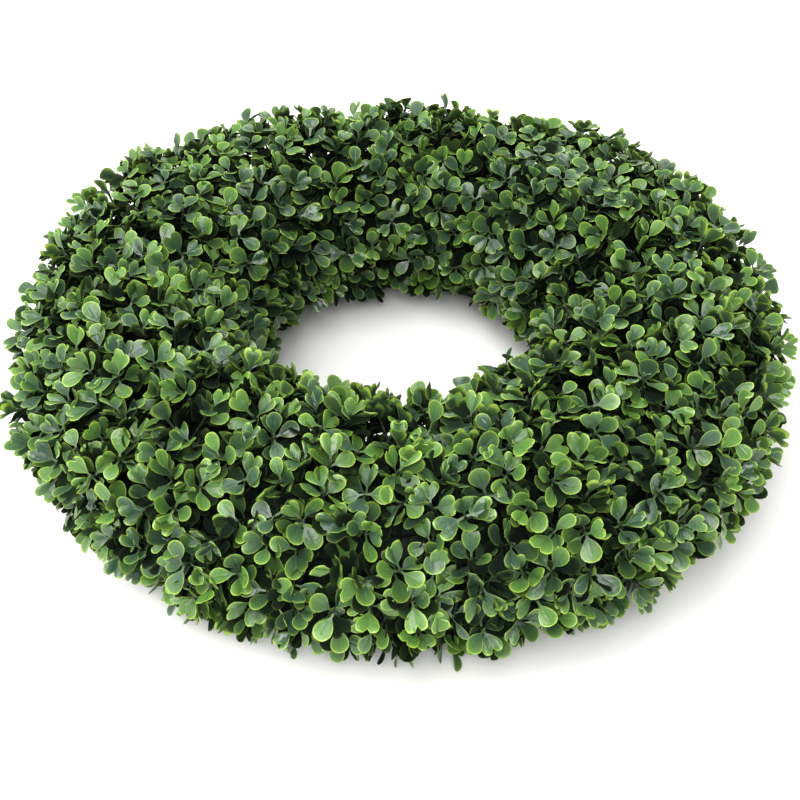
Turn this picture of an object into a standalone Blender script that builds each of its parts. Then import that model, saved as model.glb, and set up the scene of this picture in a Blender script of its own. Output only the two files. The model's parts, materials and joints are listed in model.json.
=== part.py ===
"""Greenery wreath: moulded boxwood sprays on curved backing strips, wrapped round a flat-backed ring form.

The wreath lies on its back. The origin is the centre of the ring, on the surface it lies on; metres, +Z up.
A place in the foliage is given by two angles: round the ring, and up from the outward side of the ring form.
"""

import math
import random

import bmesh
import bpy
from mathutils import Matrix, Vector
from mathutils.bvhtree import BVHTree

# The whole wreath, measured over the leaf tips
WREATH_DIAMETER = 0.560
HOLE_DIAMETER = 0.188
WREATH_HEIGHT = 0.150
FOLIAGE_HALF_HEIGHT = 0.077

# The ring form inside: a round section with its back cut flat
FORM_SECTION_RADIUS = 0.056
FORM_SECTION_HEIGHT = 0.050
FORM_FACET_DEGREES = 30
RING_STEPS = 24

# The backing strips, one for each spray, from low on the inner side over the top to low on the outer side
SPRAY_COUNT = 24
STRIP_THICKNESS = 0.006
STRIP_LOWEST_DEGREES = -30
PIECE_GAP = 0.0003

# One sprig: a stem that carries a star of leaves
LEAVES_PER_SPRIG = 5
LEAF_LENGTH = 0.044
LEAF_THICKNESS = 0.0011
LEAF_RISE_DEGREES = (-2.0, 42.0)
LEAF_CUP = 0.32
CLAW_RADIUS = 0.0045
STAR_DEPTH = 0.020
STEM_RADIUS = 0.0017
STEM_SINK = 0.004
SHORTEST_STEM = 0.006

# Each row of sprigs: degrees up from the outward side, sprigs round the ring, and degrees to the first one, which
# keep every stem clear of the strips' ends
SPRIG_ROWS = (
    (-13.0, 28, 1.07),
    (29.0, 28, 7.50),
    (67.0, 24, 3.75),
    (107.0, 18, 2.50),
    (150.0, 15, 1.50),
    (193.0, 12, 7.50),
)

# The irregularity of a real wreath, drawn from a fixed seed
SEED = 11
ROW_SPREAD_DEGREES = 4.0
DEPTH_SPREAD = 0.005
TILT_DEGREES = 15.0

# How the leaves grow into the space between them
FIRST_SHARE = 0.50
GROWTH_STEPS = 10
RISE_TRIES = 7
LEAF_ROOM = 1.01
NEIGHBOUR_DISTANCE = 2.3 * LEAF_LENGTH
FLOOR_CLEARANCE = 0.001

RING_RADIUS = (WREATH_DIAMETER + HOLE_DIAMETER) / 4
FOLIAGE_HALF_WIDTH = (WREATH_DIAMETER - HOLE_DIAMETER) / 4
FOLIAGE_MIDDLE = WREATH_HEIGHT - FOLIAGE_HALF_HEIGHT
SPRAY_ANGLE = math.tau / SPRAY_COUNT

# Leaf outlines as shares of the leaf's length, along the leaf and to its side, from the right edge round to the left
SPOON_OUTLINE = ((0.60, -0.36), (0.97, -0.20), (0.97, 0.20), (0.60, 0.36))
HEART_OUTLINE = ((0.62, -0.37), (0.98, -0.22), (0.84, 0.0), (0.98, 0.22), (0.62, 0.37))


def clear_scene():
    for obj in list(bpy.data.objects):
        bpy.data.objects.remove(obj, do_unlink=True)


def new_collection(name):
    collection = bpy.data.collections.new(name)
    bpy.context.scene.collection.children.link(collection)
    return collection


def plastic(name, colour, roughness):
    material = bpy.data.materials.new(name)
    material.use_nodes = True
    shader = material.node_tree.nodes["Principled BSDF"]
    shader.inputs["Base Color"].default_value = (*colour, 1.0)
    shader.inputs["Roughness"].default_value = roughness
    shader.inputs["Metallic"].default_value = 0.0
    return material


def add_object(name, mesh, collection, material):
    obj = bpy.data.objects.new(name, mesh)
    mesh.materials.append(material)
    collection.objects.link(obj)
    return obj


def mesh_from(shape, name):
    mesh = bpy.data.meshes.new(name)
    shape.to_mesh(mesh)
    shape.free()
    return mesh


def outward_from_form(ring_angle, section_angle):
    """The direction that leaves the ring form's section at an angle up from its outward side."""
    outward = math.cos(section_angle)
    return Vector((outward * math.cos(ring_angle), outward * math.sin(ring_angle), math.sin(section_angle)))


def section_arc(radius, first_degrees, last_degrees):
    """Points of the section at +X, one for each facet's edge, between two angles up from the outward side."""
    step = FORM_FACET_DEGREES if last_degrees > first_degrees else -FORM_FACET_DEGREES
    angles = [math.radians(degrees) for degrees in range(first_degrees, last_degrees + step, step)]
    return [(RING_RADIUS + radius * math.cos(a), 0.0, FORM_SECTION_HEIGHT + radius * math.sin(a)) for a in angles]


def add_ring_form(collection, material):
    """The solid ring: its profile runs from the flat back's inner edge over the top to the back's outer edge."""
    half_back = math.sqrt(FORM_SECTION_RADIUS**2 - FORM_SECTION_HEIGHT**2)
    arc = section_arc(FORM_SECTION_RADIUS, 180 - STRIP_LOWEST_DEGREES, STRIP_LOWEST_DEGREES)
    points = [(RING_RADIUS - half_back, 0.0, 0.0), *arc, (RING_RADIUS + half_back, 0.0, 0.0)]
    edges = [(i, (i + 1) % len(points)) for i in range(len(points))]
    mesh = bpy.data.meshes.new("ring_form")
    mesh.from_pydata(points, edges, [])
    form = add_object("ring_form", mesh, collection, material)
    screw = form.modifiers.new("turn", "SCREW")
    screw.axis = "Z"
    screw.steps = screw.render_steps = RING_STEPS
    screw.use_merge_vertices = True
    screw.merge_threshold = 0.00001


def add_backing_strip(index, collection, material):
    """The curved strip of one spray, its section turned through the spray's share of the ring."""
    inner_radius = FORM_SECTION_RADIUS + PIECE_GAP
    lowest, highest = STRIP_LOWEST_DEGREES, 180 - STRIP_LOWEST_DEGREES
    inner = section_arc(inner_radius, highest, lowest)
    outer = section_arc(inner_radius + STRIP_THICKNESS, lowest, highest)
    end_gap = PIECE_GAP / (RING_RADIUS - inner_radius - STRIP_THICKNESS)
    shape = bmesh.new()
    face = shape.faces.new([shape.verts.new(point) for point in inner + outer])
    start = Matrix.Rotation(index * SPRAY_ANGLE + end_gap / 2, 4, "Z")
    shape.transform(start)
    bmesh.ops.spin(
        shape,
        geom=[face, *face.edges, *face.verts],
        cent=(0.0, 0.0, 0.0),
        axis=(0.0, 0.0, 1.0),
        angle=SPRAY_ANGLE - end_gap,
        steps=RING_STEPS // SPRAY_COUNT,
    )
    bmesh.ops.recalc_face_normals(shape, faces=list(shape.faces))
    name = f"boxwood_spray_{index + 1:02d}"
    return add_object(name, mesh_from(shape, name), collection, material)


def foliage_reach(section_angle):
    """The leaf tips' distance from the ring form's section centre: a ray meets the foliage's oval outline there."""
    along, up = math.cos(section_angle), math.sin(section_angle)
    drop = FORM_SECTION_HEIGHT - FOLIAGE_MIDDLE
    a = (along / FOLIAGE_HALF_WIDTH) ** 2 + (up / FOLIAGE_HALF_HEIGHT) ** 2
    b = 2 * drop * up / FOLIAGE_HALF_HEIGHT**2
    c = (drop / FOLIAGE_HALF_HEIGHT) ** 2 - 1
    return (-b + math.sqrt(b * b - 4 * a * c)) / (2 * a)


class Leaf:
    """One leaf of a sprig. It starts small and grows until it would touch another leaf or a stem, or stand out."""

    def __init__(self, sprig, turn, outline, chance):
        self.sprig = sprig
        self.turn = turn
        self.outline = outline
        self.rises = [math.radians(chance.uniform(*LEAF_RISE_DEGREES)) for _ in range(RISE_TRIES)]
        self.growing = True
        self.share = None
        self.rise = None
        self.room = None

    def points(self, share, rise):
        """The outline's points in the sprig's own frame, at a share of the full length, from right to left."""
        swing = Matrix.Rotation(self.turn, 4, "Z")
        claw_edge = CLAW_RADIUS * math.cos(math.pi / LEAVES_PER_SPRIG)
        points = []
        for along, aside in self.outline:
            blade = along * share * LEAF_LENGTH - claw_edge
            side = aside * share * LEAF_LENGTH
            height = blade * math.sin(rise) + LEAF_CUP * abs(side)
            points.append(swing @ Vector((claw_edge + blade * math.cos(rise), side, height)))
        return points

    def stands_out(self, share, rise):
        """Whether a point of the leaf would lie outside the wreath's height, its rim or its hole."""
        for point in self.points(share, rise):
            for height in (0.0, LEAF_THICKNESS):
                placed = self.sprig.place @ (point + Vector((0.0, 0.0, height)))
                inside = HOLE_DIAMETER / 2 <= placed.xy.length <= WREATH_DIAMETER / 2
                if not inside or not FLOOR_CLEARANCE <= placed.z <= WREATH_HEIGHT:
                    return True
        return False

    def room_needed(self, share, rise):
        """The space that the leaf takes at a size: its hull, with its own thickness free above and below it."""
        claw = Matrix.Rotation(self.turn, 4, "Z") @ Vector((CLAW_RADIUS, 0.0, 0.0))
        shape = bmesh.new()
        for point in [claw, *self.points(share * LEAF_ROOM, rise)]:
            for height in (-LEAF_THICKNESS, 2 * LEAF_THICKNESS):
                shape.verts.new(self.sprig.place @ (point + Vector((0.0, 0.0, height))))
        bmesh.ops.convex_hull(shape, input=list(shape.verts))
        room = BVHTree.FromBMesh(shape)
        shape.free()
        return room

    def grow(self, share, obstacles):
        """Takes the next size at the first rise that leaves it free, or stops growing where none does."""
        for rise in self.rises:
            if self.stands_out(share, rise):
                continue
            room = self.room_needed(share, rise)
            if not any(room.overlap(obstacle) for obstacle in obstacles):
                self.share, self.rise, self.room = share, rise, room
                return
        self.growing = False


class Sprig:
    """A stem that leaves its strip at right angles, and the star of leaves on its end."""

    def __init__(self, ring_angle, section_angle, strips, chance):
        self.spray = int(ring_angle / SPRAY_ANGLE) % SPRAY_COUNT
        self.direction = outward_from_form(ring_angle, section_angle)
        section_centre = RING_RADIUS * outward_from_form(ring_angle, 0.0) + Vector((0.0, 0.0, FORM_SECTION_HEIGHT))
        leaf_tips = section_centre + foliage_reach(section_angle) * self.direction
        surface, _, _, foliage_depth = strips[self.spray].ray_cast(leaf_tips, -self.direction)
        depth = STAR_DEPTH + chance.uniform(-DEPTH_SPREAD, DEPTH_SPREAD)
        self.centre = leaf_tips - min(depth, foliage_depth - SHORTEST_STEM) * self.direction
        self.root = surface - STEM_SINK * self.direction
        self.upright = self.direction.to_track_quat("Z", "Y").to_matrix().to_4x4()
        tilt = Matrix.Rotation(math.radians(chance.uniform(0, TILT_DEGREES)), 4, "X")
        spin = Matrix.Rotation(chance.uniform(0, math.tau), 4, "Z")
        back = Matrix.Rotation(chance.uniform(0, math.tau), 4, "Z")
        self.place = Matrix.Translation(self.centre) @ self.upright @ back @ tilt @ spin
        first_heart = chance.randrange(2)
        self.leaves = [
            Leaf(
                self,
                k * math.tau / LEAVES_PER_SPRIG,
                HEART_OUTLINE if (k + first_heart) % 2 else SPOON_OUTLINE,
                chance,
            )
            for k in range(LEAVES_PER_SPRIG)
        ]
        self.middle_room = self.room_needed()

    def star(self):
        """The leaves round a small five-cornered middle, as one closed thin shell."""
        shape = bmesh.new()
        claws = []
        for leaf in self.leaves:
            angle = leaf.turn - math.pi / LEAVES_PER_SPRIG
            claws.append(shape.verts.new((CLAW_RADIUS * math.cos(angle), CLAW_RADIUS * math.sin(angle), 0.0)))
        shape.faces.new(claws)
        for k, leaf in enumerate(self.leaves):
            if leaf.room is None:
                continue
            rim = [shape.verts.new(point) for point in leaf.points(leaf.share, leaf.rise)]
            middle = len(rim) // 2
            around = [*rim[middle + 1:], claws[(k + 1) % LEAVES_PER_SPRIG], claws[k], *rim[:middle]]
            for here, after in zip(around, around[1:]):
                shape.faces.new((rim[middle], here, after))
        top = bmesh.ops.extrude_face_region(shape, geom=list(shape.faces))["geom"]
        raised = [item for item in top if isinstance(item, bmesh.types.BMVert)]
        bmesh.ops.translate(shape, verts=raised, vec=(0.0, 0.0, LEAF_THICKNESS))
        bmesh.ops.recalc_face_normals(shape, faces=list(shape.faces))
        shape.transform(self.place)
        return shape

    def stem(self):
        """The three-sided stem, from inside the strip to inside the star's middle."""
        end = self.centre + LEAF_THICKNESS / 2 * self.direction
        shape = bmesh.new()
        bmesh.ops.create_cone(
            shape,
            cap_ends=True,
            segments=3,
            radius1=STEM_RADIUS,
            radius2=STEM_RADIUS,
            depth=(end - self.root).length,
            matrix=Matrix.Translation((self.root + end) / 2) @ self.upright,
        )
        return shape

    def room_needed(self):
        """The space that the stem and the star's middle take."""
        shape = self.stem()
        bmesh.ops.create_cone(
            shape,
            cap_ends=True,
            segments=LEAVES_PER_SPRIG,
            radius1=CLAW_RADIUS,
            radius2=CLAW_RADIUS,
            depth=4 * LEAF_THICKNESS,
            matrix=self.place,
        )
        room = BVHTree.FromBMesh(shape)
        shape.free()
        return room


def plan_sprigs(strips):
    """Every sprig of the wreath, row by row."""
    chance = random.Random(SEED)
    sprigs = []
    for row_degrees, count, first_degrees in SPRIG_ROWS:
        for i in range(count):
            ring_angle = math.radians(first_degrees + i * 360 / count)
            section_angle = math.radians(row_degrees + chance.uniform(-ROW_SPREAD_DEGREES, ROW_SPREAD_DEGREES))
            sprigs.append(Sprig(ring_angle, section_angle, strips, chance))
    return sprigs


def grow_leaves(sprigs, strips):
    """Grows all leaves together, a size at a time, so that they fill the space between them evenly."""
    for size in range(GROWTH_STEPS + 1):
        share = FIRST_SHARE + (1 - FIRST_SHARE) * size / GROWTH_STEPS
        for sprig in sprigs:
            others = [other for other in sprigs if other is not sprig]
            near = [other for other in others if (other.centre - sprig.centre).length < NEIGHBOUR_DISTANCE]
            for leaf in sprig.leaves:
                if leaf.growing:
                    rooms = [other.room for neighbour in near for other in neighbour.leaves if other.room]
                    leaf.grow(share, strips + [neighbour.middle_room for neighbour in near] + rooms)


def join_spray(strip, sprigs, leaf, stem):
    """Fuses a spray's sprigs to its strip, so that the spray is one solid."""
    growth = new_collection(strip.name + "_growth")
    for sprig in sprigs:
        add_object("leaf_star", mesh_from(sprig.star(), "leaf_star"), growth, leaf)
        add_object("stem", mesh_from(sprig.stem(), "stem"), growth, stem)
    union = strip.modifiers.new("growth", "BOOLEAN")
    union.operation = "UNION"
    union.operand_type = "COLLECTION"
    union.collection = growth
    union.solver = "EXACT"
    union.material_mode = "TRANSFER"
    joined = bpy.data.meshes.new_from_object(strip.evaluated_get(bpy.context.evaluated_depsgraph_get()))
    strip.modifiers.clear()
    strip.data = joined
    for helper in list(growth.objects):
        bpy.data.objects.remove(helper, do_unlink=True)
    bpy.data.collections.remove(growth)


def build():
    clear_scene()
    wreath = new_collection("greenery_wreath")
    foam = plastic("form_green", (0.020, 0.055, 0.025), 0.85)
    backing = plastic("backing_green", (0.014, 0.045, 0.020), 0.60)
    leaf = plastic("leaf_green", (0.060, 0.190, 0.045), 0.40)
    stem = plastic("stem_green", (0.020, 0.070, 0.022), 0.50)
    add_ring_form(wreath, foam)
    strips = [add_backing_strip(index, wreath, backing) for index in range(SPRAY_COUNT)]
    graph = bpy.context.evaluated_depsgraph_get()
    strip_trees = [BVHTree.FromObject(strip, graph) for strip in strips]
    sprigs = plan_sprigs(strip_trees)
    grow_leaves(sprigs, strip_trees)
    for index, strip in enumerate(strips):
        join_spray(strip, [sprig for sprig in sprigs if sprig.spray == index], leaf, stem)


build()
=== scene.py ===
"""The looks of a boxwood wreath: moulded sprays of two-tone leaves on a foam ring, lying on a pale floor.

Every class below is one sub-assembly or one finish. All sizes are in metres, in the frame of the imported
solids: +Z up, the ring's axis on Z and its flat back at Z 0.
"""

import json
import logging
import math
from collections.abc import Callable, Mapping, Sequence
from dataclasses import dataclass
from enum import Enum
from typing import Any

import bmesh
import bpy
from mathutils import Matrix, Vector

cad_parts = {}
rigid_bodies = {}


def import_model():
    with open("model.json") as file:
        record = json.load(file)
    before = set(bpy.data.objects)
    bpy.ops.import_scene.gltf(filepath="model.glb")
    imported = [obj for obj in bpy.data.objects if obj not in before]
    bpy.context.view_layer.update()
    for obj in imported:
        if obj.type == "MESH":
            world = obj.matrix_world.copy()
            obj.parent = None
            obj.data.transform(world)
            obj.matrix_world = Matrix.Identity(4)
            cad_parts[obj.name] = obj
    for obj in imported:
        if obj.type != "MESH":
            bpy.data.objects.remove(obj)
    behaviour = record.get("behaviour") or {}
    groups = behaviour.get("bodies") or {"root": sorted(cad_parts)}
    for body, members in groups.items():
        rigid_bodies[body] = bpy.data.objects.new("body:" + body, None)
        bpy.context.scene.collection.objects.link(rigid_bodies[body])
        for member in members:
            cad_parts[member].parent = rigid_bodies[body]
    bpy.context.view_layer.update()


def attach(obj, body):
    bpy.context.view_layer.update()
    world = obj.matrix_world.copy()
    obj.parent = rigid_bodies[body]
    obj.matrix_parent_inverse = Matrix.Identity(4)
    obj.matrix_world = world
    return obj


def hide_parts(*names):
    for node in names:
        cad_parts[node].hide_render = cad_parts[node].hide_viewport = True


LOG = logging.getLogger("boxwood_wreath")

SPRAY_COUNT = 24
RING_RADIUS = 0.187
SECTION_HEIGHT = 0.050
FORM_RADIUS = 0.056
STRIP_INNER_RADIUS = 0.0575
STRIP_OUTER_RADIUS = 0.0618
FOLIAGE_HALF_WIDTH = 0.093
FOLIAGE_HALF_HEIGHT = 0.077
FOLIAGE_MIDDLE = 0.073
FULL_TURN = 2.0 * math.pi

Socket = bpy.types.NodeSocket
# A constant or another node's output for each input, by name or by place.
Inputs = Mapping[str | int, Any]
# A display colour, from 0 to 255 in each channel.
Colour = tuple[int, int, int]
# Where a mask starts and ends, and its values there, which are 0 and 1 where they are left out.
Ramp = tuple[float, ...]


class LeafKind(Enum):
    """The two leaf outlines that every spray mixes."""

    SPOON = "spoon"
    HEART = "heart"


class PartOfSpray(Enum):
    """What a face of a spray belongs to, as the number that the moulds store on their points."""

    STRIP = 0
    STEM = 1
    LEAF = 2


class Draw(Enum):
    """The random draws that grow the foliage, each as the number that is added to its seed."""

    LEAN = 1.0
    SPIN = 2.0
    SPRIG_TINT = 3.0
    TOP = 4.0
    MISSING = 11.0
    TIER = 12.0
    YAW = 13.0
    PITCH = 14.0
    ROLL = 15.0
    SIZE = 16.0
    LEAF_TINT = 17.0
    MOULD = 18.0


class NodeNet:
    """Adds nodes to one tree and joins them, so that a tree reads as a list of steps."""

    def __init__(self, tree: bpy.types.NodeTree) -> None:
        """Starts work on a tree.

        Args:
            tree: The geometry or shader tree that gets the nodes.
        """
        self.tree = tree

    def add(self, kind: str, inputs: Inputs | None = None, **settings: Any) -> bpy.types.Node:
        """Adds a node and fills its inputs.

        Args:
            kind: The node's type name.
            inputs: What goes into it.
            **settings: Properties of the node itself.

        Returns:
            The new node.
        """
        node = self.tree.nodes.new(kind)
        for name, value in settings.items():
            setattr(node, name, value)
        self.feed(node, inputs or {})
        return node

    def feed(self, node: bpy.types.Node, inputs: Inputs) -> None:
        """Fills a node's inputs.

        Args:
            node: The node.
            inputs: What goes into it.
        """
        for key, value in inputs.items():
            socket = node.inputs[key] if isinstance(key, int) else self.named(node.inputs, key)
            if isinstance(value, Socket):
                self.tree.links.new(value, socket)
            else:
                socket.default_value = value

    @staticmethod
    def named(sockets: Sequence[Socket], name: str) -> Socket:
        """Returns the socket in use that has the name, because a node may hold hidden ones as well."""
        return next(socket for socket in sockets if socket.name == name and socket.enabled)

    def get(self, name: str, kind: str, inputs: Inputs | None = None, **settings: Any) -> Socket:
        """Adds a node as add() does and returns its output of that name."""
        return self.named(self.add(kind, inputs, **settings).outputs, name)

    def math(self, operation: str, *values: Any) -> Socket:
        """Returns the result of a Math node on the values."""
        return self.get("Value", "ShaderNodeMath", dict(enumerate(values)), operation=operation)

    def plus(self, first: Any, second: Any) -> Socket:
        """Returns the sum of two values."""
        return self.math("ADD", first, second)

    def minus(self, first: Any, second: Any) -> Socket:
        """Returns the first value less the second."""
        return self.math("SUBTRACT", first, second)

    def times(self, first: Any, second: Any) -> Socket:
        """Returns the product of two values."""
        return self.math("MULTIPLY", first, second)

    def vector(self, operation: str, *values: Any) -> Socket:
        """Returns the vector that a Vector Math node makes of the values."""
        return self.get("Vector", "ShaderNodeVectorMath", dict(enumerate(values)), operation=operation)

    def scaled(self, vector: Any, factor: Any) -> Socket:
        """Returns a vector times a number."""
        return self.get("Vector", "ShaderNodeVectorMath", {"Vector": vector, "Scale": factor},
                        operation="SCALE")

    def triple(self, x: Any = 0.0, y: Any = 0.0, z: Any = 0.0) -> Socket:
        """Returns a vector of three numbers."""
        return self.get("Vector", "ShaderNodeCombineXYZ", {"X": x, "Y": y, "Z": z})

    def random(self, low: Any, high: Any, seed: Any, data_type: str = "FLOAT") -> Socket:
        """Returns a seeded random value for each point."""
        return self.get("Value", "FunctionNodeRandomValue", {"Min": low, "Max": high, "Seed": seed},
                        data_type=data_type)

    def attribute(self, name: str, data_type: str = "FLOAT") -> Socket:
        """Returns a stored attribute, in a geometry tree."""
        return self.get("Attribute", "GeometryNodeInputNamedAttribute", {"Name": name}, data_type=data_type)

    def store(self, geometry: Socket, name: str, value: Any, data_type: str = "FLOAT") -> Socket:
        """Returns the geometry with a value stored on its points, in a geometry tree."""
        inputs = {"Geometry": geometry, "Name": name, "Value": value}
        return self.get("Geometry", "GeometryNodeStoreNamedAttribute", inputs, data_type=data_type)

    def blended(self, factor: Any, first: Any, second: Any) -> Socket:
        """Returns a mix of two colours, in a shader tree."""
        node = self.add("ShaderNodeMix", {"Factor": factor, "A": first, "B": second}, data_type="RGBA")
        return self.named(node.outputs, "Result")

    def ramp(self, value: Any, start: float, end: float, low: float = 0.0, high: float = 1.0) -> Socket:
        """Returns a value taken smoothly from one range to another."""
        inputs = {"Value": value, "From Min": start, "From Max": end, "To Min": low, "To Max": high}
        return self.get("Result", "ShaderNodeMapRange", inputs, interpolation_type="SMOOTHSTEP")

    def bump(self, height: Any, strength: float, distance: float) -> Socket:
        """Returns the normal that a height gives, in a shader tree."""
        return self.get("Normal", "ShaderNodeBump",
                        {"Strength": strength, "Distance": distance, "Height": height})


def new_object(name: str, mesh: bpy.types.Mesh, home: bpy.types.Collection | None = None) -> bpy.types.Object:
    """Links a mesh to a collection as an object at the origin.

    Args:
        name: The object's name.
        mesh: Its mesh.
        home: The collection, or None for the scene's own.

    Returns:
        The new object.
    """
    thing = bpy.data.objects.new(name, mesh)
    (home or bpy.context.scene.collection).objects.link(thing)
    return thing


def mesh_of(name: str, form: bmesh.types.BMesh) -> bpy.types.Mesh:
    """Turns a bmesh into a smooth-shaded mesh, and frees it.

    Args:
        name: The mesh's name.
        form: The form, with its faces outward.

    Returns:
        The new mesh.
    """
    mesh = bpy.data.meshes.new(name)
    form.to_mesh(mesh)
    form.free()
    mesh.shade_smooth()
    return mesh


def envelope_reach(angle: float) -> float:
    """Works out how far the foliage stands out from the middle of the ring's section.

    Args:
        angle: The direction in the section, in radians from the outward horizontal.

    Returns:
        The distance from the middle of the section to the leaf tips.
    """
    across, up = math.cos(angle), math.sin(angle)
    drop = SECTION_HEIGHT - FOLIAGE_MIDDLE
    a = (across / FOLIAGE_HALF_WIDTH) ** 2 + (up / FOLIAGE_HALF_HEIGHT) ** 2
    b = 2.0 * up * drop / FOLIAGE_HALF_HEIGHT ** 2
    c = (drop / FOLIAGE_HALF_HEIGHT) ** 2 - 1.0
    return (-b + math.sqrt(b * b - 4.0 * a * c)) / (2.0 * a)


def in_section(turn: float, angle: float, radius: float) -> Vector:
    """Returns a point by its turn round the ring and its polar place in the ring's section."""
    out = RING_RADIUS + radius * math.cos(angle)
    return Vector((out * math.cos(turn), out * math.sin(turn), SECTION_HEIGHT + radius * math.sin(angle)))


@dataclass(frozen=True)
class LeafMould:
    """The mould of one leaf: origin at its claw, length along +Y, upper face towards +Z.

    A side table gives the edge's (place along the length, share of half the width) from the claw to the
    widest part. A tip table goes on from there as (share of half the width, place along the length) to the
    midrib. The cup is how far the blade's sides stand up, and the curl how far its tip does.
    """

    name: str
    kind: LeafKind
    length: float
    width: float
    cup: float
    curl: float
    notch: float = 0.0
    rim_width: float = 0.0010
    edge_drop: float = 0.0003
    thickness: float = 0.0007

    SIDES = {
        LeafKind.SPOON: ((0.00, 0.11), (0.22, 0.13), (0.35, 0.50), (0.49, 0.80), (0.63, 0.97), (0.77, 0.97),
                         (0.895, 0.77)),
        LeafKind.HEART: ((0.00, 0.09), (0.23, 0.11), (0.39, 0.50), (0.56, 0.84), (0.745, 1.00), (0.88, 0.94)),
    }
    TIPS = {
        LeafKind.SPOON: ((0.45, 0.974), (0.0, 1.0)),
        LeafKind.HEART: ((0.80, 0.967), (0.56, 1.0), (0.27, 0.985), (0.0, 1.0)),
    }
    CLAW_ROWS = 2
    CLAW_END = 0.15
    BLADE_RISE = 0.35
    TIP_SHARE = 0.9
    LOBE_ARC = math.radians(135.0)
    EDGE_ANGLE = math.radians(60.0)
    TIE = 1e-9

    def height(self, across: float, along: float) -> float:
        """Gives the upper face's height.

        Args:
            across: The distance from the midrib as a share of half the width.
            along: The distance from the claw as a share of the length.

        Returns:
            The height over the flat leaf.
        """
        blade = min(1.0, max(0.0, (along - self.CLAW_END) / self.BLADE_RISE))
        bowl = across ** 2 if self.kind is LeafKind.SPOON else math.sin(min(1.0, across) * self.LOBE_ARC)
        return blade * bowl * self.cup + self.curl * along ** 2

    def rows(self) -> list[list[tuple[float, float]]]:
        """Lays out half of the upper face, row by row from claw to tip.

        Returns:
            For each row the (across, along) of its points in metres, from the midrib to the edge. The rows
            of the claw have their edge alone.
        """
        half = self.width / 2.0
        side, tip = self.SIDES[self.kind], self.TIPS[self.kind]
        columns = 1 if self.kind is LeafKind.SPOON else 2
        laid = [[(share * half, along * self.length)] for along, share in side[:self.CLAW_ROWS]]
        for along, share in side[self.CLAW_ROWS:-1]:
            edge = share * half
            inner = edge - self.rim_width
            laid.append([(inner * i / columns, along * self.length) for i in range(columns + 1)]
                        + [(edge, along * self.length)])
        corner = (side[-1][1] * half, side[-1][0] * self.length)
        tip_row = [(x * half, y * self.length) for x, y in reversed(tip)]
        tip_row[0] = (0.0, self.length - self.notch)
        inner_row = [(x * self.TIP_SHARE, y - self.rim_width) for x, y in tip_row[:columns]]
        inner_row.append(((corner[0] + tip_row[-1][0]) / 2.0 - self.rim_width,
                          (corner[1] + tip_row[-1][1]) / 2.0 - self.rim_width))
        return [*laid, [*inner_row, corner], tip_row]

    def build(self, home: bpy.types.Collection) -> bpy.types.Object:
        """Makes the leaf as a thin closed solid and stores what its finish reads.

        The attribute rim goes from 0 at the midrib over 0.5 at the rim's foot to 1 on the edge, along from 0
        at the claw to 1 at the tip, and upper is 1 on the upper face, 0.5 on the edge and 0 below.

        Args:
            home: The collection of the moulds.

        Returns:
            The mould's object.
        """
        form = bmesh.new()
        rim = form.verts.layers.float.new("rim")
        along_leaf = form.verts.layers.float.new("along")
        upper = form.verts.layers.float.new("upper")
        part = form.verts.layers.int.new("part")
        half = self.width / 2.0

        def point(x: float, y: float, rim_value: float, upper_value: float) -> bmesh.types.BMVert:
            """Adds one point at the height that the leaf's form gives it.

            Args:
                x: Its place across the leaf.
                y: Its place along the leaf.
                rim_value: What it stores as rim.
                upper_value: What it stores as upper.

            Returns:
                The new point.
            """
            drop = {1.0: 0.0, 0.5: self.edge_drop, 0.0: self.thickness}[upper_value]
            vert = form.verts.new((x, y, self.height(abs(x) / half, y / self.length) - drop))
            vert[rim], vert[along_leaf], vert[upper] = rim_value, y / self.length, upper_value
            vert[part] = PartOfSpray.LEAF.value
            return vert

        rows = self.rows()
        top: list[list[bmesh.types.BMVert]] = []
        for number, row in enumerate(rows):
            inside = [(x, y, 0.5 * i / max(1, len(row) - 2), 1.0) for i, (x, y) in enumerate(row[:-1])]
            if number == len(rows) - 1:
                inside = [(x, y, 1.0, 0.5) for x, y in row[:-1]]
            elif number == len(rows) - 2:
                inside = [(x, y, 0.5, 1.0) for x, y in row[:-1]]
            right = [*inside, (*row[-1], 1.0, 0.5)]
            left = [(-x, y, r, u) for x, y, r, u in reversed(right) if x > 0.0]
            top.append([point(*values) for values in left + right])
        bottom = [[line[0], point(0.0, row[0][1], 0.0, 0.0), line[-1]] for line, row in zip(top[:-1], rows)]
        for low, high in zip(top, top[1:]):
            self.stitch(form, low, high)
        for low, high in zip([*bottom[1:], top[-1]], bottom):
            self.stitch(form, low, high)
        form.faces.new((top[0][-1], top[0][0], bottom[0][1]))
        mesh = mesh_of(self.name, form)
        mesh.set_sharp_from_angle(angle=self.EDGE_ANGLE)
        return new_object(self.name, mesh, home)

    @classmethod
    def stitch(cls, form: bmesh.types.BMesh, low: list[bmesh.types.BMVert], high: list[bmesh.types.BMVert]
               ) -> None:
        """Joins two rows that run from left to right with triangles.

        Rows with as many points are joined point to point, others over the shorter diagonal each time.

        Args:
            form: The form that gets the faces.
            low: One row, on the right-hand side of which the faces' front lies.
            high: The other row.
        """
        i = j = 0
        while i < len(low) - 1 or j < len(high) - 1:
            along_low = (low[i + 1].co - high[j].co).length if i < len(low) - 1 else math.inf
            along_high = (low[i].co - high[j + 1].co).length if j < len(high) - 1 else math.inf
            if len(low) == len(high):
                along_low, along_high = float(i), float(j)
            tied = abs(along_low - along_high) <= cls.TIE
            step_low = 2 * i < len(low) - 1 if tied else along_low < along_high
            if step_low:
                form.faces.new((low[i], low[i + 1], high[j]))
                i += 1
            else:
                form.faces.new((low[i], high[j + 1], high[j]))
                j += 1


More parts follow.
